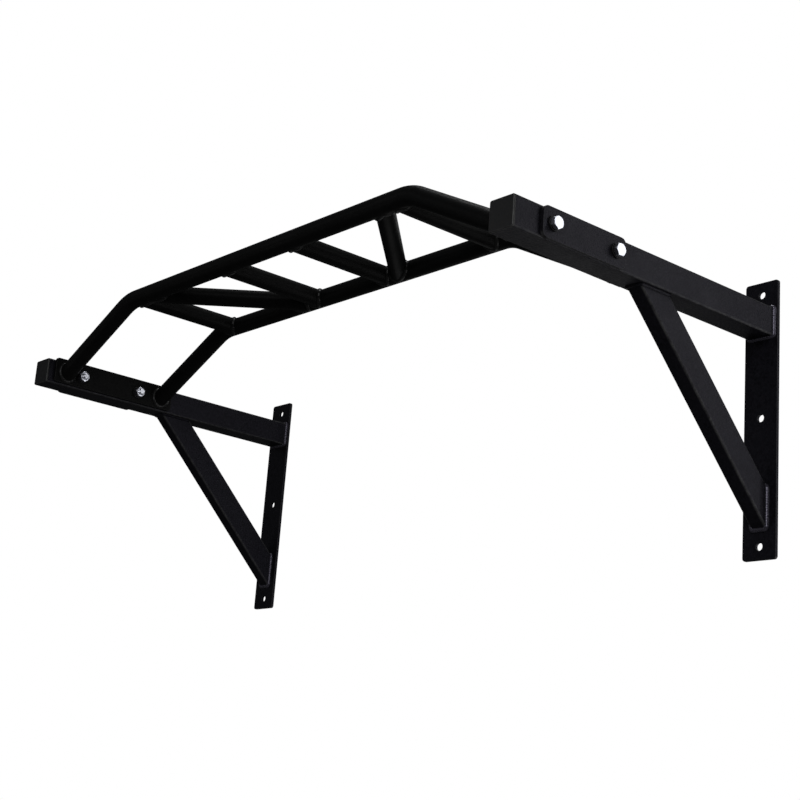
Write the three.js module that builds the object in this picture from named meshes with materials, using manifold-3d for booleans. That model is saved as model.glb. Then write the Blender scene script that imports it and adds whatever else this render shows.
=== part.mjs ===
// Wall mounted pull up bar: two triangular wall brackets carry a welded frame of round grip
// tubes between their arms. Millimetres, +Z up. The wall is the plane y = 0, the object stands
// out from it towards -Y, and x = 0 is midway between the brackets. z = 0 is the mid height of
// the wall plates.
import * as THREE from "three";
import { mergeVertices } from "three/addons/utils/BufferGeometryUtils.js";
import Module from "manifold-3d";

const wasm = await Module();
wasm.setup();

// Gap left between neighbours that touch or are welded together.
const GAP = 0.3;

// Brackets.
const ARM_SPACING = 1334; // between the arms' centre planes
const ARM_SIZE = 50;
const ARM_WALL = 3;
const ARM_CORNER = 3.5;
const ARM_REACH = 616; // wall to the face of the end cap
const ARM_Z = 162; // arm's centre line
const CAP_FACE = 4;
const CAP_EDGE = 2;
const CAP_PLUG = 14;
const CAP_PLUG_WALL = 3;

const PLATE_WIDTH = 65;
const PLATE_HEIGHT = 470;
const PLATE_THICKNESS = 6;
const PLATE_CORNER = 5;
const PLATE_HOLE = 13;
const PLATE_HOLE_PITCH = 213;

const BRACE_DEPTH = 50;
const BRACE_WIDTH = 30;
const BRACE_WALL = 2.5;
const BRACE_CORNER = 4;
const BRACE_ANGLE = THREE.MathUtils.degToRad(45);
const BRACE_FOOT_Z = -151; // centre line where it meets the wall plate

// Grip frame.
const TUBE_RADIUS = 16.85;
const TUBE_WALL = 2.5;
const FRONT_Y = -573;
const REAR_Y = -348;
const GRIP_Z = 273; // centre plane of the level grips
const BEND_X = 417; // where the level and the falling centre lines would cross
const BEND_ANGLE = THREE.MathUtils.degToRad(26.5);
const BEND_RADIUS = 100;
const OUTER_CROSS_X = 380;
const INNER_CROSS_X = 100;
const ANGLED_FRONT_X = 348;
const ANGLED_REAR_X = 128;

// Bolted joints between the grip frame and the arms.
const FLANGE_LENGTH = 280;
const FLANGE_THICKNESS = 6;
const FLANGE_CORNER = 6;
const FLANGE_RISE = 4; // flange centre above the arm's centre line
const BACKING_LENGTH = 178;
const BACKING_THICKNESS = 6;
const BACKING_CORNER = 10;
const JOINT_Y = -472;
const BOLT_PITCH = 135;
const BOLT_RADIUS = 6;
const BOLT_LENGTH = 85;
const BOLT_HOLE = 13;
const HEX_FLATS = 19;
const HEAD_HEIGHT = 7.5;
const NUT_HEIGHT = 10.8;
const NUT_BORE = 12.8;
const WASHER_OUTER = 24;
const WASHER_INNER = 13;
const WASHER_THICKNESS = 2.5;

// Facets of the round shapes.
const TUBE_STEPS = 24;
const BEND_STEPS = 6;
const HOLE_STEPS = 16;
const CORNER_STEPS = 3;

function material(name, color, metalness, roughness) {
  const made = new THREE.MeshStandardMaterial({ color, metalness, roughness });
  made.name = name;
  return made;
}

const paint = () => material("black_powder_coat", 0x17181a, 0.3, 0.55);
const zinc = () => material("bright_zinc", 0xc9ced2, 1, 0.25);
const blackSteel = () => material("black_steel", 0x1a1a1c, 0.6, 0.45);
const plastic = () => material("black_plastic", 0x141414, 0, 0.6);

// Outlines.

function circle(radius, steps, turn = 0) {
  return Array.from({ length: steps }, (_, i) => {
    const angle = turn + (2 * Math.PI * i) / steps;
    return new THREE.Vector2(radius * Math.cos(angle), radius * Math.sin(angle));
  });
}

function roundedRectangle(width, height, radius) {
  const points = [];
  const corners = [
    [1, 1],
    [-1, 1],
    [-1, -1],
    [1, -1],
  ];
  corners.forEach(([sx, sy], corner) => {
    for (let i = 0; i <= CORNER_STEPS; i += 1) {
      const angle = (corner + i / CORNER_STEPS) * (Math.PI / 2);
      const x = sx * (width / 2 - radius) + radius * Math.cos(angle);
      const y = sy * (height / 2 - radius) + radius * Math.sin(angle);
      points.push(new THREE.Vector2(x, y));
    }
  });
  return points;
}

function moved(points, x, y) {
  return points.map((p) => new THREE.Vector2(p.x + x, p.y + y));
}

function shapeOf(outline, holes = []) {
  const shape = new THREE.Shape(outline);
  shape.holes = holes.map((points) => new THREE.Path(points));
  return shape;
}

// A prism of the outline, centred on the origin along z.
function prism(outline, holes, length) {
  const options = { depth: length, bevelEnabled: false };
  const geometry = new THREE.ExtrudeGeometry(shapeOf(outline, holes), options);
  return geometry.translate(0, 0, -length / 2);
}

// Solids for joining and cutting.

function solid(geometry) {
  const plain = new THREE.BufferGeometry();
  plain.setAttribute("position", geometry.getAttribute("position"));
  if (geometry.index) plain.setIndex(geometry.index);
  const merged = mergeVertices(plain, 1e-4);
  return new wasm.Manifold(
    new wasm.Mesh({
      numProp: 3,
      vertProperties: merged.attributes.position.array,
      triVerts: new Uint32Array(merged.index.array),
    }),
  );
}

function geometryOf(manifold) {
  const mesh = manifold.getMesh();
  const geometry = new THREE.BufferGeometry();
  geometry.setAttribute("position", new THREE.BufferAttribute(mesh.vertProperties, 3));
  geometry.setIndex(new THREE.BufferAttribute(mesh.triVerts, 1));
  const flat = geometry.toNonIndexed();
  flat.computeVertexNormals();
  return flat;
}

function block(xMin, xMax, yMin, yMax, zMin, zMax) {
  const geometry = new THREE.BoxGeometry(xMax - xMin, yMax - yMin, zMax - zMin);
  return geometry.translate((xMin + xMax) / 2, (yMin + yMax) / 2, (zMin + zMax) / 2);
}

// A straight rod or pipe between two points; an inner radius of 0 makes it solid.
function rod(from, to, radius, innerRadius = 0) {
  const axis = to.clone().sub(from);
  const holes = innerRadius > 0 ? [circle(innerRadius, TUBE_STEPS)] : [];
  const geometry = prism(circle(radius, TUBE_STEPS), holes, axis.length());
  const turn = new THREE.Quaternion().setFromUnitVectors(
    new THREE.Vector3(0, 0, 1),
    axis.clone().normalize(),
  );
  const middle = from.clone().add(to).multiplyScalar(0.5);
  return geometry.applyQuaternion(turn).translate(middle.x, middle.y, middle.z);
}

// Centre line of a long bar: level in the middle, bent down to both sides. Its points are the
// stations where the tube gets a ring of vertices.
class BentBarPath extends THREE.Curve {
  constructor(y, reach) {
    super();
    this.stations = [];
    const tangentLength = BEND_RADIUS * Math.tan(BEND_ANGLE / 2);
    const arcStart = BEND_X - tangentLength;
    const half = [];
    for (let i = 0; i <= BEND_STEPS; i += 1) {
      const angle = (BEND_ANGLE * i) / BEND_STEPS;
      const x = arcStart + BEND_RADIUS * Math.sin(angle);
      const z = GRIP_Z - BEND_RADIUS * (1 - Math.cos(angle));
      half.push({ x, z, angle });
    }
    const fall = (reach - BEND_X) * Math.tan(BEND_ANGLE);
    half.push({ x: reach, z: GRIP_Z - fall, angle: BEND_ANGLE });
    const add = (side, { x, z, angle }) => {
      const tangent = new THREE.Vector3(Math.cos(angle), 0, -side * Math.sin(angle));
      this.stations.push({ point: new THREE.Vector3(side * x, y, z), tangent });
    };
    [...half].reverse().forEach((station) => add(-1, station));
    half.forEach((station) => add(1, station));
  }

  station(u) {
    return this.stations[Math.round(u * (this.stations.length - 1))];
  }

  getPointAt(u, target = new THREE.Vector3()) {
    return target.copy(this.station(u).point);
  }

  getTangentAt(u, target = new THREE.Vector3()) {
    return target.copy(this.station(u).tangent);
  }
}

const FLANGE_FACE_X = ARM_SPACING / 2 - ARM_SIZE / 2 - GAP - FLANGE_THICKNESS;
const BAR_END_X = FLANGE_FACE_X - GAP;

function bentBar(y) {
  const path = new BentBarPath(y, BAR_END_X + TUBE_RADIUS);
  const section = shapeOf(circle(TUBE_RADIUS, TUBE_STEPS), [
    circle(TUBE_RADIUS - TUBE_WALL, TUBE_STEPS),
  ]);
  const options = { steps: path.stations.length - 1, extrudePath: path, bevelEnabled: false };
  const tube = new THREE.ExtrudeGeometry(section, options);
  const room = block(-BAR_END_X, BAR_END_X, y - 50, y + 50, 0, 400);
  return geometryOf(solid(tube).intersect(solid(room)));
}

// Straight grips between the two long bars, their ends coped round the tubes they meet.

function gripLine(frontX, rearX) {
  return [
    new THREE.Vector3(frontX, FRONT_Y, GRIP_Z),
    new THREE.Vector3(rearX, REAR_Y, GRIP_Z),
  ];
}

function clearanceRod(line, beyond) {
  const step = line[1].clone().sub(line[0]).normalize().multiplyScalar(beyond);
  return solid(rod(line[0].clone().sub(step), line[1].clone().add(step), TUBE_RADIUS + GAP));
}

function grip(frontX, rearX, neighbours) {
  const [front, rear] = gripLine(frontX, rearX);
  let shape = solid(rod(front, rear, TUBE_RADIUS, TUBE_RADIUS - TUBE_WALL));
  const reach = BEND_X - TUBE_RADIUS;
  [FRONT_Y, REAR_Y].forEach((y) => {
    const line = [new THREE.Vector3(-reach, y, GRIP_Z), new THREE.Vector3(reach, y, GRIP_Z)];
    shape = shape.subtract(clearanceRod(line, 0));
  });
  neighbours.forEach((x) => {
    shape = shape.subtract(clearanceRod(gripLine(x, x), 0));
  });
  return geometryOf(shape);
}

// Bracket pieces, each in its own frame.

function squareTube() {
  const inner = ARM_SIZE - 2 * ARM_WALL;
  const bore = roundedRectangle(inner, inner, ARM_CORNER - ARM_WALL);
  const length = ARM_REACH - CAP_FACE - PLATE_THICKNESS - 2 * GAP;
  const tube = prism(roundedRectangle(ARM_SIZE, ARM_SIZE, ARM_CORNER), [bore], length);
  const centreY = -(PLATE_THICKNESS + GAP + length / 2);
  tube.rotateX(Math.PI / 2).translate(0, centreY, ARM_Z);
  let shape = solid(tube);
  boltPositions().forEach((y) => {
    const hole = prism(circle(BOLT_HOLE / 2, HOLE_STEPS), [], 2 * ARM_SIZE);
    shape = shape.subtract(solid(hole.rotateY(Math.PI / 2).translate(0, y, ARM_Z)));
  });
  return geometryOf(shape);
}

function boltPositions() {
  return [JOINT_Y - BOLT_PITCH / 2, JOINT_Y + BOLT_PITCH / 2];
}

function endCap() {
  const outline = roundedRectangle(
    ARM_SIZE - 2 * CAP_EDGE,
    ARM_SIZE - 2 * CAP_EDGE,
    ARM_CORNER - CAP_EDGE,
  );
  const head = new THREE.ExtrudeGeometry(shapeOf(outline), {
    depth: CAP_FACE,
    bevelThickness: CAP_EDGE,
    bevelSize: CAP_EDGE,
    bevelSegments: 2,
  });
  head.translate(0, 0, -CAP_EDGE);
  const backTrim = block(-ARM_SIZE, ARM_SIZE, -ARM_SIZE, ARM_SIZE, -2 * CAP_FACE, 0);
  const frontTrim = backTrim.clone().translate(0, 0, 3 * CAP_FACE);
  const plugSize = ARM_SIZE - 2 * ARM_WALL - 2 * GAP;
  const plugBore = plugSize - 2 * CAP_PLUG_WALL;
  const plug = prism(
    roundedRectangle(plugSize, plugSize, ARM_CORNER - ARM_WALL),
    [roundedRectangle(plugBore, plugBore, CAP_EDGE)],
    CAP_PLUG + CAP_EDGE,
  );
  plug.translate(0, 0, (CAP_EDGE - CAP_PLUG) / 2);
  const shape = solid(head).subtract(solid(backTrim)).subtract(solid(frontTrim));
  return geometryOf(shape.add(solid(plug))).rotateX(Math.PI / 2);
}

function wallPlate() {
  const holes = [-1, 0, 1].map((i) =>
    moved(circle(PLATE_HOLE / 2, HOLE_STEPS), 0, i * PLATE_HOLE_PITCH),
  );
  const outline = roundedRectangle(PLATE_WIDTH, PLATE_HEIGHT, PLATE_CORNER);
  return prism(outline, holes, PLATE_THICKNESS).rotateX(Math.PI / 2);
}

function brace() {
  const inner = roundedRectangle(
    BRACE_WIDTH - 2 * BRACE_WALL,
    BRACE_DEPTH - 2 * BRACE_WALL,
    BRACE_CORNER - BRACE_WALL,
  );
  const outer = roundedRectangle(BRACE_WIDTH, BRACE_DEPTH, BRACE_CORNER);
  const tube = prism(outer, [inner], 2 * ARM_REACH);
  tube.rotateX(BRACE_ANGLE).translate(0, -PLATE_THICKNESS, BRACE_FOOT_Z);
  const underside = ARM_Z - ARM_SIZE / 2 - GAP;
  const face = -PLATE_THICKNESS - GAP;
  const room = block(-ARM_SIZE, ARM_SIZE, -ARM_REACH, face, -PLATE_HEIGHT, underside);
  return geometryOf(solid(tube).intersect(solid(room)));
}

// A flat plate standing in the YZ plane with the two bolt holes at the given height.
function boltedPlate(length, thickness, corner, centreY, holeZ) {
  const holes = boltPositions().map((y) =>
    moved(circle(BOLT_HOLE / 2, HOLE_STEPS), -holeZ, y - centreY),
  );
  const outline = roundedRectangle(ARM_SIZE, length, corner);
  return prism(outline, holes, thickness).rotateY(Math.PI / 2);
}

function bolt() {
  const hexRadius = HEX_FLATS / Math.sqrt(3);
  const head = prism(circle(hexRadius, 6), [], HEAD_HEIGHT).translate(0, 0, HEAD_HEIGHT / 2);
  const shank = prism(circle(BOLT_RADIUS, HOLE_STEPS), [], BOLT_LENGTH + HEAD_HEIGHT / 2);
  shank.translate(0, 0, HEAD_HEIGHT / 4 - BOLT_LENGTH / 2);
  return geometryOf(solid(head).add(solid(shank))).rotateY(Math.PI / 2);
}

function nut() {
  const outline = circle(HEX_FLATS / Math.sqrt(3), 6, Math.PI / 6);
  const bore = circle(NUT_BORE / 2, HOLE_STEPS);
  return prism(outline, [bore], NUT_HEIGHT).rotateY(Math.PI / 2);
}

function washer() {
  const bore = circle(WASHER_INNER / 2, HOLE_STEPS);
  const disc = prism(circle(WASHER_OUTER / 2, HOLE_STEPS), [bore], WASHER_THICKNESS);
  return disc.rotateY(Math.PI / 2);
}

// Assembly.

function piece(name, geometry, finish, x = 0, y = 0, z = 0) {
  const mesh = new THREE.Mesh(geometry, finish);
  mesh.name = name;
  mesh.position.set(x, y, z);
  return mesh;
}

// One bolt with its washers and nut, laid out along +x from the arm's centre plane outwards.
function fastenerSet(label) {
  const group = new THREE.Group();
  const outerFace = ARM_SIZE / 2 + GAP + BACKING_THICKNESS;
  const innerFace = -(ARM_SIZE / 2 + GAP + FLANGE_THICKNESS);
  const headWasherX = outerFace + GAP + WASHER_THICKNESS / 2;
  const headX = outerFace + 2 * GAP + WASHER_THICKNESS;
  const nutWasherX = innerFace - GAP - WASHER_THICKNESS / 2;
  const nutX = innerFace - 2 * GAP - WASHER_THICKNESS - NUT_HEIGHT / 2;
  group.add(
    piece(`bolt_${label}`, bolt(), zinc(), headX),
    piece(`head_washer_${label}`, washer(), blackSteel(), headWasherX),
    piece(`nut_washer_${label}`, washer(), blackSteel(), nutWasherX),
    piece(`nut_${label}`, nut(), zinc(), nutX),
  );
  return group;
}

function bracket(label, side) {
  const group = new THREE.Group();
  group.position.x = (side * ARM_SPACING) / 2;
  const capY = -(ARM_REACH - CAP_FACE);
  group.add(
    piece(`wall_plate_${label}`, wallPlate(), paint(), 0, -PLATE_THICKNESS / 2),
    piece(`arm_${label}`, squareTube(), paint()),
    piece(`arm_end_cap_${label}`, endCap(), plastic(), 0, capY, ARM_Z),
    piece(`brace_${label}`, brace(), paint()),
  );

  const backing = boltedPlate(BACKING_LENGTH, BACKING_THICKNESS, BACKING_CORNER, JOINT_Y, 0);
  const backingX = side * (ARM_SIZE / 2 + GAP + BACKING_THICKNESS / 2);
  group.add(piece(`backing_plate_${label}`, backing, paint(), backingX, JOINT_Y, ARM_Z));

  const flangeY = (FRONT_Y + REAR_Y) / 2;
  const flangeZ = ARM_Z + FLANGE_RISE;
  const flangeX = -side * (ARM_SIZE / 2 + GAP + FLANGE_THICKNESS / 2);
  const flange = boltedPlate(
    FLANGE_LENGTH,
    FLANGE_THICKNESS,
    FLANGE_CORNER,
    flangeY,
    -FLANGE_RISE,
  );
  group.add(piece(`flange_plate_${label}`, flange, paint(), flangeX, flangeY, flangeZ));

  ["front", "rear"].forEach((place, i) => {
    const set = fastenerSet(`${label}_${place}`);
    set.position.set(0, boltPositions()[i], ARM_Z);
    if (side < 0) set.rotation.z = Math.PI;
    group.add(set);
  });
  return group;
}

function gripFrame() {
  const group = new THREE.Group();
  group.add(
    piece("front_bar", bentBar(FRONT_Y), paint()),
    piece("rear_bar", bentBar(REAR_Y), paint()),
  );
  [
    ["left", -1],
    ["right", 1],
  ].forEach(([label, side]) => {
    const outerX = side * OUTER_CROSS_X;
    const innerX = side * INNER_CROSS_X;
    const angled = grip(side * ANGLED_FRONT_X, side * ANGLED_REAR_X, [outerX, innerX]);
    group.add(
      piece(`outer_cross_bar_${label}`, grip(outerX, outerX, []), paint()),
      piece(`inner_cross_bar_${label}`, grip(innerX, innerX, []), paint()),
      piece(`angled_grip_${label}`, angled, paint()),
    );
  });
  return group;
}

const pullUpBar = new THREE.Group();
pullUpBar.name = "pull_up_bar";
pullUpBar.add(bracket("left", -1), bracket("right", 1), gripFrame());

export default pullUpBar;
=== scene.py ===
"""Looks of the wall mounted pull up bar, built round its CAD frame. Metres, +Z up.

The wall is the plane y = 0 and the object stands out from it towards -Y. The arms run along Y,
the long grips along X. Every piece is a fine mesh at the CAD node's own sizes, and the weld
beads, threads and chamfers are added to it.
"""

import math
import random

import bmesh
import bpy
from mathutils import Matrix, Vector


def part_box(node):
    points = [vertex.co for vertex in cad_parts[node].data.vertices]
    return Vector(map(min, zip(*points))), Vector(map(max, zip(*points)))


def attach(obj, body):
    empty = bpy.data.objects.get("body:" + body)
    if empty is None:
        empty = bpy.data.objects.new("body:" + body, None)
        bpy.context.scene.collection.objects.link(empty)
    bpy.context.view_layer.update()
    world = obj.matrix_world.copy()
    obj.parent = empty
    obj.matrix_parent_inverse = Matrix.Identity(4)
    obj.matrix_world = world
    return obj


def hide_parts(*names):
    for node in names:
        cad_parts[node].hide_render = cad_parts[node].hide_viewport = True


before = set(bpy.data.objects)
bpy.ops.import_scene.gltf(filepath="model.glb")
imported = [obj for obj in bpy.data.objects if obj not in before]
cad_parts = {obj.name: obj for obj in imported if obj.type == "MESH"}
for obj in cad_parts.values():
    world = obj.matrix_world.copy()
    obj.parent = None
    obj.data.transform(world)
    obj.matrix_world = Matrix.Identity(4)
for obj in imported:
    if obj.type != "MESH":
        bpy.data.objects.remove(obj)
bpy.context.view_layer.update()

SIDES = {"left": -1, "right": 1}
PLACES = ("front", "rear")
GAP = 0.0003  # between neighbours that touch

# Sizes that the boxes of the CAD nodes don't show.
ARM_WALL = 0.003
ARM_CORNER = 0.0035
CAP_PLUG_WALL = 0.003
CAP_HEAD = 0.004
CAP_EDGE = 0.0020
CAP_BACK_EDGE = 0.0003
PLATE_CORNER = 0.005
PLATE_HOLE = 0.013
PLATE_HOLE_PITCH = 0.213
PLATE_EDGE = 0.0007
BRACE_DEPTH = 0.050
BRACE_WALL = 0.0025
BRACE_CORNER = 0.004
BRACE_ANGLE = math.radians(45)
FLANGE_CORNER = 0.006
BACKING_CORNER = 0.010
BOLT_HOLE = 0.013
TUBE_WALL = 0.0025
BEND_ANGLE = math.radians(26.5)
BEND_RADIUS = 0.100
ANGLED_FRONT_X = 0.348
ANGLED_REAR_X = 0.128
HEX_FLATS = 0.019
HEX_CHAMFER = math.radians(30)
HEX_CROWN = 0.93  # of the width over the flats
HEX_TURN = {"front": math.radians(30), "rear": math.radians(4)}
HEX_TURN_SPREAD = 0.08  # radians that a bolt may be turned past or short of it
HEX_SOFTNESS = 0.00018
HEAD_HEIGHT = 0.0075
WASHER_FACE = 0.0004
THREAD_RADIUS = 0.0059
THREAD_PITCH = 0.00175
THREAD_DEPTH = 0.00095
THREAD_FLAT = 0.1  # share of the groove's slope that is flat, at its crest and at its root
THREAD_TIP = 1.2  # how far the tip's chamfer goes in, in thread depths
THREAD_LENGTH = 0.022
NUT_CLEARANCE = 0.00015
NUT_CHAMFER = 0.0009
WASHER_HOLE = 0.013
WASHER_EDGES = (0.0002, 0.0004)

# Weld beads.
BEAD_RADIUS = 0.0044
SMALL_BEAD_RADIUS = 0.0030
BEAD_FLATNESS = 0.8
BEAD_PITCH = 0.0042
BEAD_RIPPLE = 0.06
BEAD_SPREAD = 0.04  # how much wider or narrower than the others a ripple may be
BEAD_FILLET_RISE = 0.0007  # of its middle over the seam, where the surfaces meet at a corner
BEAD_FLUSH_SINK = 0.0028  # of its middle under the seam, where they run on into each other

COAT_IOR = 1.4
EDGE_WEAR_AND_HIGHLIGHT_LIFT = 4.5  # how much lighter than the coat's lighter tone its worn edges are, which is worn paint and a painted highlight
BLUISH = (0.82, 0.79, 1.0)

# Fineness of the meshes.
ROUND_STEPS = 72
CORNER_STEPS = 8
BEND_STEPS = 24
EDGE_STEPS = 4
THREAD_STEPS = 10  # rings for each turn
BEAD_STEPS = 6  # rings for each ripple
BEAD_SECTION_STEPS = 20
DRILL_STEPS = 40
SHARP_ANGLE = math.radians(35)  # edges that turn by more stay sharp

# The room and the camera.
FLOOR_Z = -2.1
FLOOR_REACH = 30  # to each side
FLOOR_GLOW = 0.70  # keeps the floor pale to the eye, and casts no light on the object
ROOM_LIGHT = 0.07
LIGHTS_AIM = (0.3, -0.4, 0.1)
CAMERA_PLACE = (2.17925, -2.04973, -0.70194)
CAMERA_AZIMUTH = 0.87107
CAMERA_ELEVATION = -0.27077
CAMERA_ROLL = 0.07572
CAMERA_LENS = 70.776  # in millimetres, and the sensor's width as well
CAMERA_SENSOR = 36

random.seed(7)


# ---------------------------------------------------------------- outlines and rings


def circle(radius, steps=ROUND_STEPS):
    """Points of a circle round (0, 0), anticlockwise."""
    turns = (2 * math.pi * i / steps for i in range(steps))
    return [(radius * math.cos(a), radius * math.sin(a)) for a in turns]


def rounded_rectangle(width, height, radius):
    """Points of a rounded rectangle round (0, 0), anticlockwise."""
    points = []
    for corner, (sx, sy) in enumerate(((1, 1), (-1, 1), (-1, -1), (1, -1))):
        for i in range(CORNER_STEPS + 1):
            angle = (corner + i / CORNER_STEPS) * math.pi / 2
            x = sx * (width / 2 - radius) + radius * math.cos(angle)
            y = sy * (height / 2 - radius) + radius * math.sin(angle)
            points.append((x, y))
    return points


def hexagon(flats):
    """Points of a hexagon, evenly spaced by angle, with a point at each corner."""
    points = []
    for i in range(ROUND_STEPS):
        angle = 2 * math.pi * i / ROUND_STEPS
        off_flat = (angle % (math.pi / 3)) - math.pi / 6
        radius = flats / 2 / math.cos(off_flat)
        points.append((radius * math.cos(angle), radius * math.sin(angle)))
    return points


# How worn each point of a rounded rectangle is, and how much painted highlight it gets: most in
# the middle of a corner.
CORNER_WEAR_AND_HIGHLIGHT = [math.sin(math.pi * i / CORNER_STEPS) for i in range(CORNER_STEPS + 1)] * 4


def wear_and_highlight_layer(bm):
    """The layer of a mesh that says how worn the coat is at each vertex and how much painted
    highlight it gets there, from 0 to 1.
    """
    layers = bm.verts.layers.float
    return layers.get("wear_and_highlight") or layers.new("wear_and_highlight")


def skin(bm, rings, loop=False):
    """Adds the faces between rings of equally many points, and returns the rings' vertices.
    Rings that are rounded rectangles get worn corners that also carry a painted highlight."""
    wear_and_highlight = wear_and_highlight_layer(bm)
    made = [[bm.verts.new(p) for p in ring] for ring in rings]
    count = len(made[0])
    # rounded corners are painted lighter: worn paint, and a painted highlight where the rounding
    # would catch the light
    if count == len(CORNER_WEAR_AND_HIGHLIGHT):
        for ring in made:
            for vert, amount in zip(ring, CORNER_WEAR_AND_HIGHLIGHT):
                vert[wear_and_highlight] = amount
    pairs = list(zip(made, made[1:])) + ([(made[-1], made[0])] if loop else [])
    for a, b in pairs:
        for i in range(count):
            j = (i + 1) % count
            bm.faces.new((a[i], a[j], b[j], b[i]))
    return made


def finished(bm, name, matrix=None):
    """The mesh of bm, with its faces turned outwards and its real corners kept sharp."""
    if matrix:
        bmesh.ops.transform(bm, matrix=matrix, verts=bm.verts)
    bmesh.ops.recalc_face_normals(bm, faces=bm.faces)
    mesh = bpy.data.meshes.new(name)
    bm.to_mesh(mesh)
    bm.free()
    mesh.shade_smooth()
    mesh.set_sharp_from_angle(angle=SHARP_ANGLE)
    return mesh


def loop_mesh(name, rings, matrix=None):
    """A ring-shaped body: the last ring joins the first."""
    bm = bmesh.new()
    skin(bm, rings, loop=True)
    return finished(bm, name, matrix)


def wear_and_highlight_edges(bm, made):
    """Wears the rounded edges of a plate and gives them a painted highlight, and keeps its two
    faces as they are.
    """
    wear_and_highlight = wear_and_highlight_layer(bm)
    for k, ring in enumerate(made):
        edge = math.sin(math.pi * (k % (EDGE_STEPS + 1)) / EDGE_STEPS)
        for vert in ring:
            vert[wear_and_highlight] = 0 if k in (0, len(made) - 1) else max(vert[wear_and_highlight], edge)


def plate_mesh(name, outline, holes, thickness, edges, matrix):
    """A flat plate from w = 0 to w = thickness. outline(inset) gives its outer loop, and holes
    holds (x, y, radius). edges gives the radius of its edges at the bottom and at the top."""
    bottom, top = edges
    profile = []
    for i in range(EDGE_STEPS + 1):
        angle = math.pi / 2 * i / EDGE_STEPS
        profile.append((bottom * (1 - math.sin(angle)), bottom * (1 - math.cos(angle))))
    for i in range(EDGE_STEPS + 1):
        angle = math.pi / 2 * i / EDGE_STEPS
        profile.append((top * (1 - math.cos(angle)), thickness - top * (1 - math.sin(angle))))

    def hole_loop(x, y, radius):
        return lambda inset: [(x + u, y + v) for u, v in circle(radius + inset)]

    bm = bmesh.new()
    ends = ([], [])
    for loop in [outline] + [hole_loop(*hole) for hole in holes]:
        rings = [[(u, v, w) for u, v in loop(inset)] for inset, w in profile]
        made = skin(bm, rings)
        # the plate's rounded edges get worn paint and a painted highlight
        wear_and_highlight_edges(bm, made)
        for end, ring in zip(ends, (made[0], made[-1])):
            end += [bm.edges.get((a, b)) for a, b in zip(ring, ring[1:] + ring[:1])]
    for edges_of_end in ends:
        bmesh.ops.triangle_fill(bm, use_beauty=True, edges=edges_of_end)
    return finished(bm, name, matrix)


def upright(x, y, z):
    """Local x, y and z along X, Z and -Y: the frame of a wall plate."""
    return Matrix(((1, 0, 0, x), (0, 0, -1, y), (0, 1, 0, z), (0, 0, 0, 1)))


def sideways(x, y, z, side=1):
    """Local x, y and z along Y, Z and X, or for side -1 along -Y, Z and -X."""
    return Matrix(((0, 0, side, x), (side, 0, 0, y), (0, 1, 0, z), (0, 0, 0, 1)))


# ---------------------------------------------------------------- materials


class Nodes:
    """A material's node tree, with short calls for adding and linking nodes."""

    def __init__(self, name):
        self.material = bpy.data.materials.new(name)
        self.material.use_nodes = True
        self.tree = self.material.node_tree
        self.shader = self.tree.nodes["Principled BSDF"]
        self.place = self.tree.nodes.new("ShaderNodeTexCoord").outputs["Object"]

    def link(self, output, target):
        self.tree.links.new(output, target)

    def set(self, **values):
        """Sets the shader's own sockets: metallic=1 sets Metallic, and so on."""
        for name, value in values.items():
            socket = name.replace("_", " ").title().replace("Ior", "IOR")
            self.shader.inputs[socket].default_value = value

    def noise(self, size, detail=2.0, roughness=0.5, stretch=(1, 1, 1)):
        """Noise with features of about that size in metres, from 0 to 1."""
        spread = self.tree.nodes.new("ShaderNodeMapping")
        spread.inputs["Scale"].default_value = [1 / (size * s) for s in stretch]
        self.link(self.place, spread.inputs["Vector"])
        node = self.tree.nodes.new("ShaderNodeTexNoise")
        node.inputs["Scale"].default_value = 1
        node.inputs["Detail"].default_value = detail
        node.inputs["Roughness"].default_value = roughness
        self.link(spread.outputs["Vector"], node.inputs["Vector"])
        return node.outputs["Fac"]

    def remap(self, value, low, high, to_low, to_high):
        """The value, with low to high stretched to to_low to to_high and cut off beyond them."""
        node = self.tree.nodes.new("ShaderNodeMapRange")
        node.inputs["From Min"].default_value = low
        node.inputs["From Max"].default_value = high
        node.inputs["To Min"].default_value = to_low
        node.inputs["To Max"].default_value = to_high
        self.link(value, node.inputs["Value"])
        return node.outputs["Result"]

    def combine(self, operation, a, b):
        """Two outputs put together: operation is ADD or MULTIPLY."""
        node = self.tree.nodes.new("ShaderNodeMath")
        node.operation = operation
        self.link(a, node.inputs[0])
        self.link(b, node.inputs[1])
        return node.outputs["Value"]

    def worn_and_highlit(self, tone, light):
        """The tone, lightened unevenly where the mesh says that it is worn: worn paint and a
        painted highlight on the rounded edges.
        """
        wear_and_highlight = self.tree.nodes.new("ShaderNodeAttribute")
        wear_and_highlight.attribute_name = "wear_and_highlight"
        uneven = self.remap(self.noise(0.014, detail=4, roughness=0.6), 0.35, 0.6, 0.35, 1)
        amount = self.combine("MULTIPLY", wear_and_highlight.outputs["Fac"], uneven)
        return self.mix(amount, tone, (EDGE_WEAR_AND_HIGHLIGHT_LIFT * sum(light) / 3,) * 3)

    def mix(self, factor, a, b):
        """A colour mix of a and b, each a colour or an output."""
        node = self.tree.nodes.new("ShaderNodeMix")
        node.data_type = "RGBA"
        self.link(factor, node.inputs[0])
        for socket, value in ((node.inputs[6], a), (node.inputs[7], b)):
            if isinstance(value, tuple):
                socket.default_value = (*value, 1)
            else:
                self.link(value, socket)
        return node.outputs[2]

    def bump(self, height, depth, below=None):
        """A normal with relief of that depth in metres, laid over an earlier bump's normal."""
        node = self.tree.nodes.new("ShaderNodeBump")
        node.inputs["Strength"].default_value = 1
        node.inputs["Distance"].default_value = depth
        self.link(height, node.inputs["Height"])
        if below:
            self.link(below, node.inputs["Normal"])
        return node.outputs["Normal"]


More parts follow.
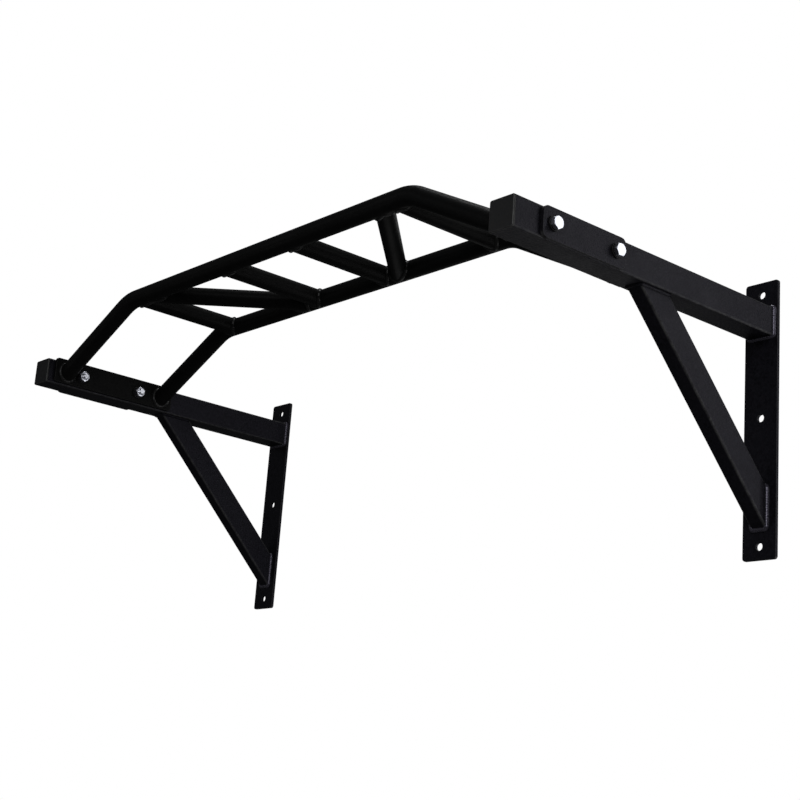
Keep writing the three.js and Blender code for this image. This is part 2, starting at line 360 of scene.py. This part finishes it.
def powder_coat(name, dark, light, roughness, specular, peel, tint=(1, 1, 1)):
    """Black powder coat: orange peel and fine grain, mottled, streaked and specked in tone, cloudy
    in gloss, and worn at its edges, which also carry a painted highlight. peel is the depth of the
    orange peel in metres."""
    nodes = Nodes(name)
    middle = tuple((a + b) / 2 for a, b in zip(dark, light))
    mottle = nodes.noise(0.0042, detail=3, roughness=0.6)
    streak = nodes.noise(0.009, detail=3, roughness=0.6, stretch=(1, 3, 1))
    cloud = nodes.noise(0.07, detail=3)
    tone = nodes.mix(nodes.remap(mottle, 0.34, 0.66, 0, 1), dark, light)
    streaked = nodes.mix(nodes.remap(streak, 0.45, 0.7, 0, 0.8), tone, light)
    shade = nodes.mix(nodes.remap(cloud, 0.3, 0.7, 0, 0.5), streaked, middle)
    speck = nodes.remap(nodes.noise(0.0022, detail=1), 0.62, 0.8, 0, 0.5)
    specked = nodes.mix(speck, shade, tuple(2 * c for c in light))
    # the edges are painted lighter, partly as wear and partly as a painted highlight
    nodes.link(nodes.worn_and_highlit(specked, light), nodes.shader.inputs["Base Color"])
    cloudy = nodes.remap(cloud, 0.3, 0.7, roughness - 0.05, roughness + 0.05)
    patchy = nodes.combine("ADD", cloudy, nodes.remap(mottle, 0.3, 0.7, -0.05, 0.05))
    nodes.link(patchy, nodes.shader.inputs["Roughness"])
    waves = nodes.bump(nodes.noise(0.0036, detail=2), peel)
    grain = nodes.bump(nodes.noise(0.0011, detail=3), 0.25 * peel, waves)
    nodes.link(grain, nodes.shader.inputs["Normal"])
    nodes.set(specular_ior_level=specular, ior=COAT_IOR, specular_tint=(*tint, 1))
    return nodes.material


def zinc_plate():
    """Bright zinc: cloudy, bluish, with faint scuffs."""
    nodes = Nodes("bright_zinc")
    cloud = nodes.noise(0.004, detail=4, roughness=0.65)
    tone = nodes.mix(nodes.remap(cloud, 0.3, 0.7, 0, 1), (0.80, 0.81, 0.86), (0.60, 0.62, 0.70))
    nodes.link(tone, nodes.shader.inputs["Base Color"])
    scuffs = nodes.remap(nodes.noise(0.0016, detail=3), 0.3, 0.7, 0.24, 0.36)
    nodes.link(scuffs, nodes.shader.inputs["Roughness"])
    nodes.link(nodes.bump(nodes.noise(0.0009, detail=2), 0.00002), nodes.shader.inputs["Normal"])
    nodes.set(metallic=1.0)
    return nodes.material


def moulded_plastic():
    """Black plastic with a fine spark-eroded grain, and worn edges that also carry a painted
    highlight.
    """
    nodes = Nodes("cap_plastic")
    cloud = nodes.noise(0.005, detail=3)
    light = (0.012, 0.012, 0.0125)
    tone = nodes.mix(nodes.remap(cloud, 0.35, 0.7, 0, 1), (0.006, 0.006, 0.0064), light)
    # the cap's rounded edges are painted lighter: wear and a painted highlight
    nodes.link(nodes.worn_and_highlit(tone, light), nodes.shader.inputs["Base Color"])
    nodes.link(nodes.remap(cloud, 0.3, 0.7, 0.3, 0.4), nodes.shader.inputs["Roughness"])
    nodes.link(nodes.bump(nodes.noise(0.0006, detail=2), 0.00003), nodes.shader.inputs["Normal"])
    nodes.set(specular_ior_level=0.2)
    return nodes.material


# Each slot's material.
MATERIALS = {
    "bracket_coat": powder_coat(
        "bracket_coat",
        dark=(0.0020, 0.0020, 0.0027),
        light=(0.0086, 0.0083, 0.0112),
        roughness=0.42,
        specular=0.16,
        peel=0.0005,
        tint=BLUISH,
    ),
    "grip_coat": powder_coat(
        "grip_coat",
        dark=(0.0026, 0.0026, 0.0026),
        light=(0.006, 0.006, 0.006),
        roughness=0.44,
        specular=0.06,
        peel=0.00014,
    ),
    "black_washer": powder_coat(
        "black_washer",
        dark=(0.004, 0.004, 0.0045),
        light=(0.008, 0.008, 0.009),
        roughness=0.4,
        specular=0.14,
        peel=0.00006,
    ),
    "zinc": zinc_plate(),
    "cap_plastic": moulded_plastic(),
}

# The coats of the weld beads: glossier because they run smooth there, and painted lighter than the
# coat as a painted highlight along the beads.
WELD_COATS_WITH_PAINTED_HIGHLIGHT = {
    "bracket_coat": powder_coat(
        "bracket_weld_painted_highlight",
        dark=(0.018, 0.017, 0.022),
        light=(0.034, 0.032, 0.042),
        roughness=0.26,
        specular=1.0,
        peel=0.00008,
        tint=BLUISH,
    ),
    "grip_coat": powder_coat(
        "grip_weld_painted_highlight",
        dark=(0.004, 0.004, 0.004),
        light=(0.009, 0.009, 0.009),
        roughness=0.32,
        specular=0.3,
        peel=0.00008,
    ),
}


def piece(name, mesh, slot, *nodes, coat=None):
    """Puts a mesh in the scene, riding on the one body, in place of the given CAD nodes.
    coat is a material of its own, where the slot's usual one isn't meant."""
    obj = bpy.data.objects.new(name, mesh)
    bpy.context.scene.collection.objects.link(obj)
    mesh.materials.append(coat or MATERIALS[slot])
    weighted = obj.modifiers.new("weighted_normals", "WEIGHTED_NORMAL")
    weighted.keep_sharp = True
    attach(obj, "root")
    if nodes:
        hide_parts(*nodes)
    return obj


# ---------------------------------------------------------------- weld beads


def resampled(seam, count):
    """A closed seam of (point, normal, normal) at count evenly spaced places."""
    pairs = list(zip(seam, seam[1:] + seam[:1]))
    lengths = [(b[0] - a[0]).length for a, b in pairs]
    total = sum(lengths)
    made = []
    start = 0.0
    i = 0
    for k in range(count):
        at = total * k / count
        while at > start + lengths[i]:
            start += lengths[i]
            i += 1
        a, b = pairs[i]
        share = (at - start) / lengths[i]
        made.append(tuple(u.lerp(v, share) for u, v in zip(a, b)))
    return made


def weld_bead(name, seam, slot, size=BEAD_RADIUS, coat=None):
    """A rippled bead along a closed seam, where each point has the two surfaces' normals."""
    length = sum((b[0] - a[0]).length for a, b in zip(seam, seam[1:] + seam[:1]))
    ripples = round(length / BEAD_PITCH)
    width = [random.uniform(1 - BEAD_SPREAD, 1 + BEAD_SPREAD) for _ in range(ripples)]
    places = resampled(seam, ripples * BEAD_STEPS)
    rings = []
    for k, (point, normal_a, normal_b) in enumerate(places):
        along = (places[(k + 1) % len(places)][0] - places[k - 1][0]).normalized()
        out = (normal_a.normalized() + normal_b.normalized()).normalized()
        out = (out - along * out.dot(along)).normalized()
        across = along.cross(out)
        corner = min(1.0, normal_a.cross(normal_b).length)
        rise = corner * BEAD_FILLET_RISE - (1 - corner) * BEAD_FLUSH_SINK
        centre = point + out * rise
        ripple, phase = divmod(k, BEAD_STEPS)
        swell = 1 - BEAD_RIPPLE / 2 + BEAD_RIPPLE * math.sin(math.pi * phase / BEAD_STEPS)
        radius = size * swell * width[ripple]
        section = circle(radius, BEAD_SECTION_STEPS)
        rings.append([centre + across * u + out * v * BEAD_FLATNESS for u, v in section])
    # by default the bead gets a weld coat painted lighter, a painted highlight along the bead
    return piece(name, loop_mesh(name, rings), slot, coat=coat or WELD_COATS_WITH_PAINTED_HIGHLIGHT[slot])


def outline_seam(outline, normal, place):
    """The seam round a tube that stands on a flat face with that normal. place maps the points
    of the tube's outline to space."""
    seam = []
    for i, (u, v) in enumerate(outline):
        before, after = outline[i - 1], outline[(i + 1) % len(outline)]
        side = Vector((after[1] - before[1], before[0] - after[0], 0)).normalized()
        outward = (place(u + side.x, v + side.y) - place(u, v)).normalized()
        seam.append((place(u, v), outward, normal))
    return seam


# ---------------------------------------------------------------- brackets


def rounded(width, height, radius):
    """outline(inset) of a rounded rectangle."""
    return lambda inset: rounded_rectangle(
        width - 2 * inset, height - 2 * inset, max(radius - inset, radius / 4)
    )


def tube_rings(outer, inner, centre, start, end):
    """Rings of a tube along Y from start to end, round the centre's x and z."""

    def ring(outline, y):
        return [Vector((centre.x + u, y, centre.z + v)) for u, v in outline]

    return [ring(outer, start), ring(outer, end), ring(inner, end), ring(inner, start)]


def wall_plate(label):
    """The flat strip against the wall, with its three screw holes."""
    low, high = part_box(f"wall_plate_{label}")
    size = high - low
    holes = [(0, i * PLATE_HOLE_PITCH, PLATE_HOLE / 2) for i in (-1, 0, 1)]
    outline = rounded(size.x, size.z, PLATE_CORNER)
    place = upright((low.x + high.x) / 2, high.y, (low.z + high.z) / 2)
    mesh = plate_mesh("wall_plate", outline, holes, size.y, (PLATE_EDGE, PLATE_EDGE), place)
    piece(f"plate_{label}", mesh, "bracket_coat", f"wall_plate_{label}")


def arm(label):
    """The square tube that stands out from the wall, drilled for its two bolts."""
    low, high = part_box(f"arm_{label}")
    size = high.x - low.x
    bore = size - 2 * ARM_WALL
    centre = (low + high) / 2
    outer = rounded_rectangle(size, size, ARM_CORNER)
    inner = rounded_rectangle(bore, bore, ARM_CORNER - ARM_WALL)
    mesh = loop_mesh("arm", tube_rings(outer, inner, centre, low.y, high.y))
    obj = piece(f"square_arm_{label}", mesh, "bracket_coat", f"arm_{label}")
    drill(obj, [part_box(f"bolt_{label}_{place}") for place in PLACES], centre.x, size)

    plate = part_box(f"wall_plate_{label}")[0].y
    seam = outline_seam(
        outer, Vector((0, -1, 0)), lambda u, v: Vector((centre.x + u, plate, centre.z + v))
    )
    weld_bead(f"weld_arm_to_plate_{label}", seam, "bracket_coat")


def drill(obj, bolts, x, reach):
    """Cuts the bolt holes through an arm, as far as reach to both sides of x."""
    bm = bmesh.new()
    hole = circle(BOLT_HOLE / 2, DRILL_STEPS)
    for low, high in bolts:
        y = (low.y + high.y) / 2
        z = (low.z + high.z) / 2
        rings = [[Vector((end, y + u, z + v)) for u, v in hole] for end in (x - reach, x + reach)]
        made = skin(bm, rings)
        bm.faces.new(made[0])
        bm.faces.new(made[-1])
    cutter = bpy.data.objects.new("cutter", finished(bm, "cutter"))
    bpy.context.scene.collection.objects.link(cutter)
    cut = obj.modifiers.new("bolt_holes", "BOOLEAN")
    cut.operation = "DIFFERENCE"
    cut.solver = "EXACT"
    cut.object = cutter
    obj.modifiers.move(len(obj.modifiers) - 1, 0)
    weighted = obj.modifiers["weighted_normals"]
    weighted.show_viewport = False
    evaluated = obj.evaluated_get(bpy.context.evaluated_depsgraph_get())
    drilled = bpy.data.meshes.new_from_object(evaluated)
    obj.modifiers.remove(cut)
    obj.data = drilled
    weighted.show_viewport = True
    drilled.set_sharp_from_angle(angle=SHARP_ANGLE)
    bpy.data.objects.remove(cutter)


def end_cap(label):
    """The plastic cap at an arm's front end, and the hollow plug that holds it."""
    low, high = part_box(f"arm_end_cap_{label}")
    centre = (low + high) / 2
    size = high.x - low.x
    place = upright(centre.x, low.y + CAP_HEAD, centre.z)
    outline = rounded(size, size, ARM_CORNER)
    head = plate_mesh("cap_head", outline, [], CAP_HEAD, (CAP_BACK_EDGE, CAP_EDGE), place)
    piece(f"cap_{label}", head, "cap_plastic", f"arm_end_cap_{label}")

    plug = size - 2 * ARM_WALL - 2 * GAP
    bore = plug - 2 * CAP_PLUG_WALL
    outer = rounded_rectangle(plug, plug, ARM_CORNER - ARM_WALL)
    inner = rounded_rectangle(bore, bore, CAP_EDGE)
    front = low.y + CAP_HEAD - CAP_EDGE
    mesh = loop_mesh("cap_plug", tube_rings(outer, inner, centre, front, high.y))
    piece(f"cap_plug_{label}", mesh, "cap_plastic")


def brace(label):
    """The rectangular tube from the plate's foot up to the arm, cut to fit both."""
    low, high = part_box(f"brace_{label}")
    width = high.x - low.x
    x = (low.x + high.x) / 2
    stretch = 1 / math.cos(BRACE_ANGLE)
    half_cut = BRACE_DEPTH / 2 * stretch
    foot = Vector((x, high.y, low.z + half_cut))
    top = Vector((x, low.y + half_cut, high.z))

    def foot_point(u, v):
        return foot + Vector((u, 0, v * stretch))

    def top_point(u, v):
        return top + Vector((u, v * stretch, 0))

    outer = rounded_rectangle(width, BRACE_DEPTH, BRACE_CORNER)
    bore = (width - 2 * BRACE_WALL, BRACE_DEPTH - 2 * BRACE_WALL, BRACE_CORNER - BRACE_WALL)
    inner = rounded_rectangle(*bore)
    rings = [
        [foot_point(*p) for p in outer],
        [top_point(*p) for p in outer],
        [top_point(*p) for p in inner],
        [foot_point(*p) for p in inner],
    ]
    piece(f"strut_{label}", loop_mesh("strut", rings), "bracket_coat", f"brace_{label}")
    foot_seam = outline_seam(outer, Vector((0, -1, 0)), foot_point)
    weld_bead(f"weld_brace_to_plate_{label}", foot_seam, "bracket_coat")
    top_seam = outline_seam(outer[::-1], Vector((0, 0, -1)), top_point)
    top_seam = [(point, -outward, other) for point, outward, other in top_seam]
    coat = MATERIALS["bracket_coat"]
    weld_bead(f"weld_brace_to_arm_{label}", top_seam, "bracket_coat", SMALL_BEAD_RADIUS, coat)


def bolted_plate(node, name, corner, slot, bolts):
    """A flat plate against an arm's side, with holes for its two bolts."""
    low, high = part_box(node)
    size = high - low
    centre = (low + high) / 2
    holes = []
    for bolt_low, bolt_high in bolts:
        y = (bolt_low.y + bolt_high.y) / 2 - centre.y
        z = (bolt_low.z + bolt_high.z) / 2 - centre.z
        holes.append((y, z, BOLT_HOLE / 2))
    outline = rounded(size.y, size.z, corner)
    place = sideways(low.x, centre.y, centre.z)
    mesh = plate_mesh(name, outline, holes, size.x, (PLATE_EDGE, PLATE_EDGE), place)
    piece(name, mesh, slot, node)


# ---------------------------------------------------------------- fasteners


def hex_rings(height, chamfered_base):
    """Rings (points, height) of a hexagon from its base to its crown, its corners chamfered."""
    crown = HEX_CROWN * HEX_FLATS / 2
    corners = hexagon(HEX_FLATS)

    def drop(u, v):
        return (math.hypot(u, v) - crown) * math.tan(HEX_CHAMFER)

    rings = [[(u, v, 0) for u, v in circle(crown)]]
    if chamfered_base:
        rings.append([(u, v, drop(u, v)) for u, v in corners])
    else:
        rings.append([(u, v, WASHER_FACE) for u, v in circle(crown)])
        rings.append([(u, v, WASHER_FACE) for u, v in corners])
    rings.append([(u, v, height - drop(u, v)) for u, v in corners])
    rings.append([(u, v, height) for u, v in circle(crown)])
    return rings


def thread_rings(start, end):
    """Rings of a threaded shank from w = start down to w = end, with a chamfered tip."""
    rings = []
    count = round((start - end) / THREAD_PITCH * THREAD_STEPS)
    for k in range(count + 1):
        w = start - (start - end) * k / count
        tip = THREAD_RADIUS - THREAD_DEPTH * THREAD_TIP + (w - end)
        ring = []
        for i in range(ROUND_STEPS):
            angle = 2 * math.pi * i / ROUND_STEPS
            phase = (w / THREAD_PITCH + angle / (2 * math.pi)) % 1
            slope = 1 - abs(2 * phase - 1)
            groove = (slope - THREAD_FLAT) / (1 - 2 * THREAD_FLAT)
            groove = max(0.0, min(1.0, groove))
            fade = min(1.0, (start - w) / THREAD_PITCH)
            radius = min(THREAD_RADIUS - THREAD_DEPTH * groove * fade, tip)
            ring.append((radius * math.cos(angle), radius * math.sin(angle), w))
        rings.append(ring)
    return rings


def bolt_body(length):
    """A hexagon bolt before it is placed: its head stands on w = 0 and its shank hangs below."""
    start = THREAD_LENGTH - length
    shank = [[(u, v, w) for u, v in circle(THREAD_RADIUS)] for w in (0, start)]
    bm = bmesh.new()
    rings = thread_rings(start, -length)[:0:-1] + shank[::-1] + hex_rings(HEAD_HEIGHT, False)
    made = skin(bm, rings)
    bm.faces.new(made[0])
    bm.faces.new(made[-1])
    return bm


def bolt(suffix, place, side):
    """A hexagon bolt, turned nearly alike at both arms. Its head is on the arm's outer side."""
    low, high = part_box(f"bolt_{suffix}")
    y = (low.y + high.y) / 2
    z = (low.z + high.z) / 2
    length = high.x - low.x - HEAD_HEIGHT
    head_x = (high.x if side > 0 else low.x) - side * HEAD_HEIGHT
    angle = HEX_TURN[place] + random.uniform(-HEX_TURN_SPREAD, HEX_TURN_SPREAD)
    matrix = sideways(head_x, y, z, side) @ Matrix.Rotation(angle, 4, "Z")
    mesh = finished(bolt_body(length), "bolt", matrix)
    bevelled(piece(f"hex_bolt_{suffix}", mesh, "zinc", f"bolt_{suffix}"))


def nut(suffix, side):
    """A hexagon nut, turned anyhow. Its bore is chamfered at both ends."""
    low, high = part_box(f"nut_{suffix}")
    y = (low.y + high.y) / 2
    z = (low.z + high.z) / 2
    height = high.x - low.x
    base = high.x if side < 0 else low.x
    bore = THREAD_RADIUS + NUT_CLEARANCE
    mouth = bore + NUT_CHAMFER
    rings = hex_rings(height, True)
    inside = ((mouth, height), (bore, height - NUT_CHAMFER), (bore, NUT_CHAMFER), (mouth, 0))
    for radius, w in inside:
        rings.append([(u, v, w) for u, v in circle(radius)])
    turn = Matrix.Rotation(random.uniform(0, math.pi / 3), 4, "Z")
    mesh = loop_mesh("nut", rings, sideways(base, y, z, side) @ turn)
    bevelled(piece(f"hex_nut_{suffix}", mesh, "zinc", f"nut_{suffix}"))


def washer(kind, suffix):
    """A flat round washer."""
    low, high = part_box(f"{kind}_{suffix}")
    y = (low.y + high.y) / 2
    z = (low.z + high.z) / 2
    radius = (high.y - low.y) / 2
    mesh = plate_mesh(
        kind,
        lambda inset: circle(radius - inset),
        [(0, 0, WASHER_HOLE / 2)],
        high.x - low.x,
        WASHER_EDGES,
        sideways(low.x, y, z),
    )
    piece(f"{kind}_plain_{suffix}", mesh, "black_washer", f"{kind}_{suffix}")


def bevelled(obj):
    """Softens the sharp edges of a hexagon slightly."""
    bevel = obj.modifiers.new("soft_edges", "BEVEL")
    bevel.limit_method = "ANGLE"
    bevel.angle_limit = SHARP_ANGLE
    bevel.width = HEX_SOFTNESS
    bevel.segments = 2
    obj.modifiers.move(len(obj.modifiers) - 1, 0)


# ---------------------------------------------------------------- grip frame


# The bars' sizes, from the boxes of the CAD nodes.
bar_low, bar_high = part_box("front_bar")
TUBE_RADIUS = (bar_high.y - bar_low.y) / 2
GRIP_Z = bar_high.z - TUBE_RADIUS
BAR_END_X = bar_high.x
BAR_END_Z = bar_low.z + TUBE_RADIUS / math.cos(BEND_ANGLE)
BEND_X = BAR_END_X - (GRIP_Z - BAR_END_Z) / math.tan(BEND_ANGLE)
BAR_Y = {}
for place in PLACES:
    low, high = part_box(f"{place}_bar")
    BAR_Y[place] = (low.y + high.y) / 2


def bar_stations():
    """(x, z, angle) along a long bar's centre line, round the bend on its right."""
    arc_start = BEND_X - BEND_RADIUS * math.tan(BEND_ANGLE / 2)
    stations = []
    for i in range(BEND_STEPS + 1):
        angle = BEND_ANGLE * i / BEND_STEPS
        x = arc_start + BEND_RADIUS * math.sin(angle)
        stations.append((x, GRIP_Z - BEND_RADIUS * (1 - math.cos(angle)), angle))
    return stations


def bar_rings(y, radius):
    """Rings of a long bar's surface from its left end to its right end."""

    def ring(x, z, angle, side):
        points = []
        for u, v in section:
            out = side * (x + v * math.sin(angle))
            points.append(Vector((out, y + u, z + v * math.cos(angle))))
        return points

    def end_ring(side):
        stretch = 1 / math.cos(BEND_ANGLE)
        return [Vector((side * BAR_END_X, y + u, BAR_END_Z + v * stretch)) for u, v in section]

    section = circle(radius)
    bend = bar_stations()
    left = [end_ring(-1)] + [ring(*station, -1) for station in reversed(bend)]
    right = [ring(*station, 1) for station in bend] + [end_ring(1)]
    return left + right


def long_bar(place):
    """A long bar, level in the middle and bent down to both flanges, and its two weld beads."""
    y = BAR_Y[place]
    outer = bar_rings(y, TUBE_RADIUS)
    inner = bar_rings(y, TUBE_RADIUS - TUBE_WALL)
    mesh = loop_mesh("long_bar", outer + inner[::-1])
    piece(f"long_bar_{place}", mesh, "grip_coat", f"{place}_bar")
    stretch = 1 / math.cos(BEND_ANGLE)
    for label, side in SIDES.items():
        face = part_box(f"flange_plate_{label}")[0 if side > 0 else 1].x
        seam = []
        for u, v in circle(TUBE_RADIUS):
            point = Vector((face, y + u, BAR_END_Z + v * stretch))
            outward = Vector((side * v * math.sin(BEND_ANGLE), u, v * math.cos(BEND_ANGLE)))
            seam.append((point, outward.normalized(), Vector((-side, 0, 0))))
        weld_bead(f"weld_{place}_bar_to_flange_{label}", seam, "grip_coat")


def grip_ends(front_x, rear_x, neighbours, radius):
    """Both coped ends of a straight grip, each as a list of (point, own normal, other normal).
    neighbours holds, for each end, the x of every cross bar that it meets beside the long bar."""
    start = Vector((front_x, BAR_Y["front"], GRIP_Z))
    stop = Vector((rear_x, BAR_Y["rear"], GRIP_Z))
    along = (stop - start).normalized()
    across = Vector((along.y, -along.x, 0))
    ends = ([], [])
    for u, v in circle(radius):
        offset = across * u + Vector((0, 0, v))
        line = start + offset
        clear = math.sqrt((TUBE_RADIUS + GAP) ** 2 - v * v)
        for end, sign, bar in ((0, 1, "front"), (1, -1, "rear")):
            cuts = [((BAR_Y[bar] + sign * clear - line.y) / along.y, Vector((0, sign * clear, v)))]
            for x in neighbours[end]:
                turn = sign * math.copysign(1, along.x)
                cuts.append(((x + turn * clear - line.x) / along.x, Vector((turn * clear, 0, v))))
            travel, other = max(cuts, key=lambda cut: sign * cut[0])
            ends[end].append((line + along * travel, offset.normalized(), other.normalized()))
    return ends


def straight_grip(node, name, front_x, rear_x, neighbours=((), ())):
    """A short tube between the long bars, coped to fit them, and its two weld beads."""
    front, rear = grip_ends(front_x, rear_x, neighbours, TUBE_RADIUS)
    bore_front, bore_rear = grip_ends(front_x, rear_x, neighbours, TUBE_RADIUS - TUBE_WALL)
    rings = [[p for p, _, _ in end] for end in (front, rear, bore_rear, bore_front)]
    piece(name, loop_mesh(name, rings), "grip_coat", node)
    weld_bead(f"weld_{name}_front", front, "grip_coat")
    weld_bead(f"weld_{name}_rear", rear, "grip_coat")


def grip_frame():
    """The long bars, and between them the cross bars and the angled grips."""
    for place in PLACES:
        long_bar(place)
    for label, side in SIDES.items():
        centres = {}
        for kind in ("outer", "inner"):
            low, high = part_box(f"{kind}_cross_bar_{label}")
            centres[kind] = (low.x + high.x) / 2
            node = f"{kind}_cross_bar_{label}"
            straight_grip(node, f"{kind}_grip_{label}", centres[kind], centres[kind])
        straight_grip(
            f"angled_grip_{label}",
            f"slanted_grip_{label}",
            side * ANGLED_FRONT_X,
            side * ANGLED_REAR_X,
            ((centres["outer"],), (centres["inner"],)),
        )


def brackets():
    """Both wall brackets, and everything that is bolted to them."""
    for label, side in SIDES.items():
        bolts = [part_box(f"bolt_{label}_{place}") for place in PLACES]
        wall_plate(label)
        arm(label)
        end_cap(label)
        brace(label)
        bolted_plate(
            f"backing_plate_{label}", f"outer_plate_{label}", BACKING_CORNER, "bracket_coat", bolts
        )
        bolted_plate(
            f"flange_plate_{label}", f"end_flange_{label}", FLANGE_CORNER, "grip_coat", bolts
        )
        for place in PLACES:
            suffix = f"{label}_{place}"
            bolt(suffix, place, side)
            nut(suffix, side)
            washer("head_washer", suffix)
            washer("nut_washer", suffix)


# ---------------------------------------------------------------- room, light and camera


# Each light's place, its width and height, and its power in watts.
SOFTBOXES = {
    "side_softbox": ((1.6, 0.45, 0.2), (0.9, 1.8), 9),
    "front_right_softbox": ((2.3, -2.6, 0.9), (1.5, 1.8), 38),
    "front_left_softbox": ((-2.3, -3.0, 1.25), (1.4, 1.4), 3),
    "low_left_softbox": ((-2.2, -2.6, -0.6), (1.4, 0.8), 2),
    "low_right_softbox": ((1.0, 0.45, -0.8), (0.5, 1.0), 3),
    "low_back_softbox": ((-1.5, 1.6, -0.65), (1.0, 1.0), 1.0),
    "back_softbox": ((-0.1, 3.4, 1.2), (1.5, 1.5), 25),
    "overhead_softbox": ((0, 0.1, 3.2), (1.6, 0.8), 30),
}


def pale_floor():
    """A plain pale floor, as far down as it is below a real wall bar."""
    bm = bmesh.new()
    bmesh.ops.create_grid(bm, x_segments=1, y_segments=1, size=FLOOR_REACH)
    mesh = bpy.data.meshes.new("floor")
    bm.to_mesh(mesh)
    bm.free()
    floor = bpy.data.objects.new("floor", mesh)
    floor.location.z = FLOOR_Z
    bpy.context.scene.collection.objects.link(floor)
    nodes = Nodes("pale_floor")
    tone = nodes.mix(nodes.noise(0.6, detail=3), (0.26, 0.26, 0.26), (0.30, 0.30, 0.30))
    nodes.link(tone, nodes.shader.inputs["Base Color"])
    rays = nodes.tree.nodes.new("ShaderNodeLightPath")
    glow = nodes.tree.nodes.new("ShaderNodeMath")
    glow.operation = "MULTIPLY"
    glow.inputs[1].default_value = FLOOR_GLOW
    nodes.link(rays.outputs["Is Camera Ray"], glow.inputs[0])
    nodes.link(glow.outputs["Value"], nodes.shader.inputs["Emission Strength"])
    nodes.set(roughness=0.9, specular_ior_level=0.1, emission_color=(1, 1, 1, 1))
    mesh.materials.append(nodes.material)


def softboxes():
    """Soft lights all round, which the camera doesn't see."""
    aim = Vector(LIGHTS_AIM)
    for name, (place, sides, power) in SOFTBOXES.items():
        data = bpy.data.lights.new(name, "AREA")
        data.shape = "RECTANGLE"
        data.size, data.size_y = sides
        data.energy = power
        lamp = bpy.data.objects.new(name, data)
        lamp.location = place
        lamp.rotation_mode = "QUATERNION"
        lamp.rotation_quaternion = (aim - Vector(place)).to_track_quat("-Z", "Y")
        lamp.visible_camera = False
        bpy.context.scene.collection.objects.link(lamp)


def pale_room():
    """A white background to the eye, which lights the object only faintly."""
    world = bpy.data.worlds.new("pale_room")
    world.use_nodes = True
    tree = world.node_tree
    shown = tree.nodes["Background"]
    shown.inputs["Color"].default_value = (1, 1, 1, 1)
    room = tree.nodes.new("ShaderNodeBackground")
    room.inputs["Color"].default_value = (0.93, 0.96, 1, 1)
    room.inputs["Strength"].default_value = ROOM_LIGHT
    choose = tree.nodes.new("ShaderNodeMixShader")
    rays = tree.nodes.new("ShaderNodeLightPath")
    tree.links.new(rays.outputs["Is Camera Ray"], choose.inputs["Fac"])
    tree.links.new(room.outputs["Background"], choose.inputs[1])
    tree.links.new(shown.outputs["Background"], choose.inputs[2])
    tree.links.new(choose.outputs["Shader"], tree.nodes["World Output"].inputs["Surface"])
    bpy.context.scene.world = world
    bpy.context.scene.view_settings.view_transform = "Standard"


def camera():
    """Looks up at the object from below and from its front right."""
    level = math.cos(CAMERA_ELEVATION)
    back = Vector(
        (
            math.sin(CAMERA_AZIMUTH) * level,
            -math.cos(CAMERA_AZIMUTH) * level,
            math.sin(CAMERA_ELEVATION),
        )
    )
    right = Vector((math.cos(CAMERA_AZIMUTH), math.sin(CAMERA_AZIMUTH), 0))
    up = back.cross(right)
    turned_right = right * math.cos(CAMERA_ROLL) + up * math.sin(CAMERA_ROLL)
    turned_up = up * math.cos(CAMERA_ROLL) - right * math.sin(CAMERA_ROLL)
    data = bpy.data.cameras.new("camera")
    data.sensor_width = CAMERA_SENSOR
    data.lens = CAMERA_LENS
    obj = bpy.data.objects.new("camera", data)
    matrix = Matrix((turned_right, turned_up, back)).transposed().to_4x4()
    matrix.translation = CAMERA_PLACE
    obj.matrix_world = matrix
    bpy.context.scene.collection.objects.link(obj)
    bpy.context.scene.camera = obj


brackets()
grip_frame()
pale_floor()
softboxes()
pale_room()
camera()
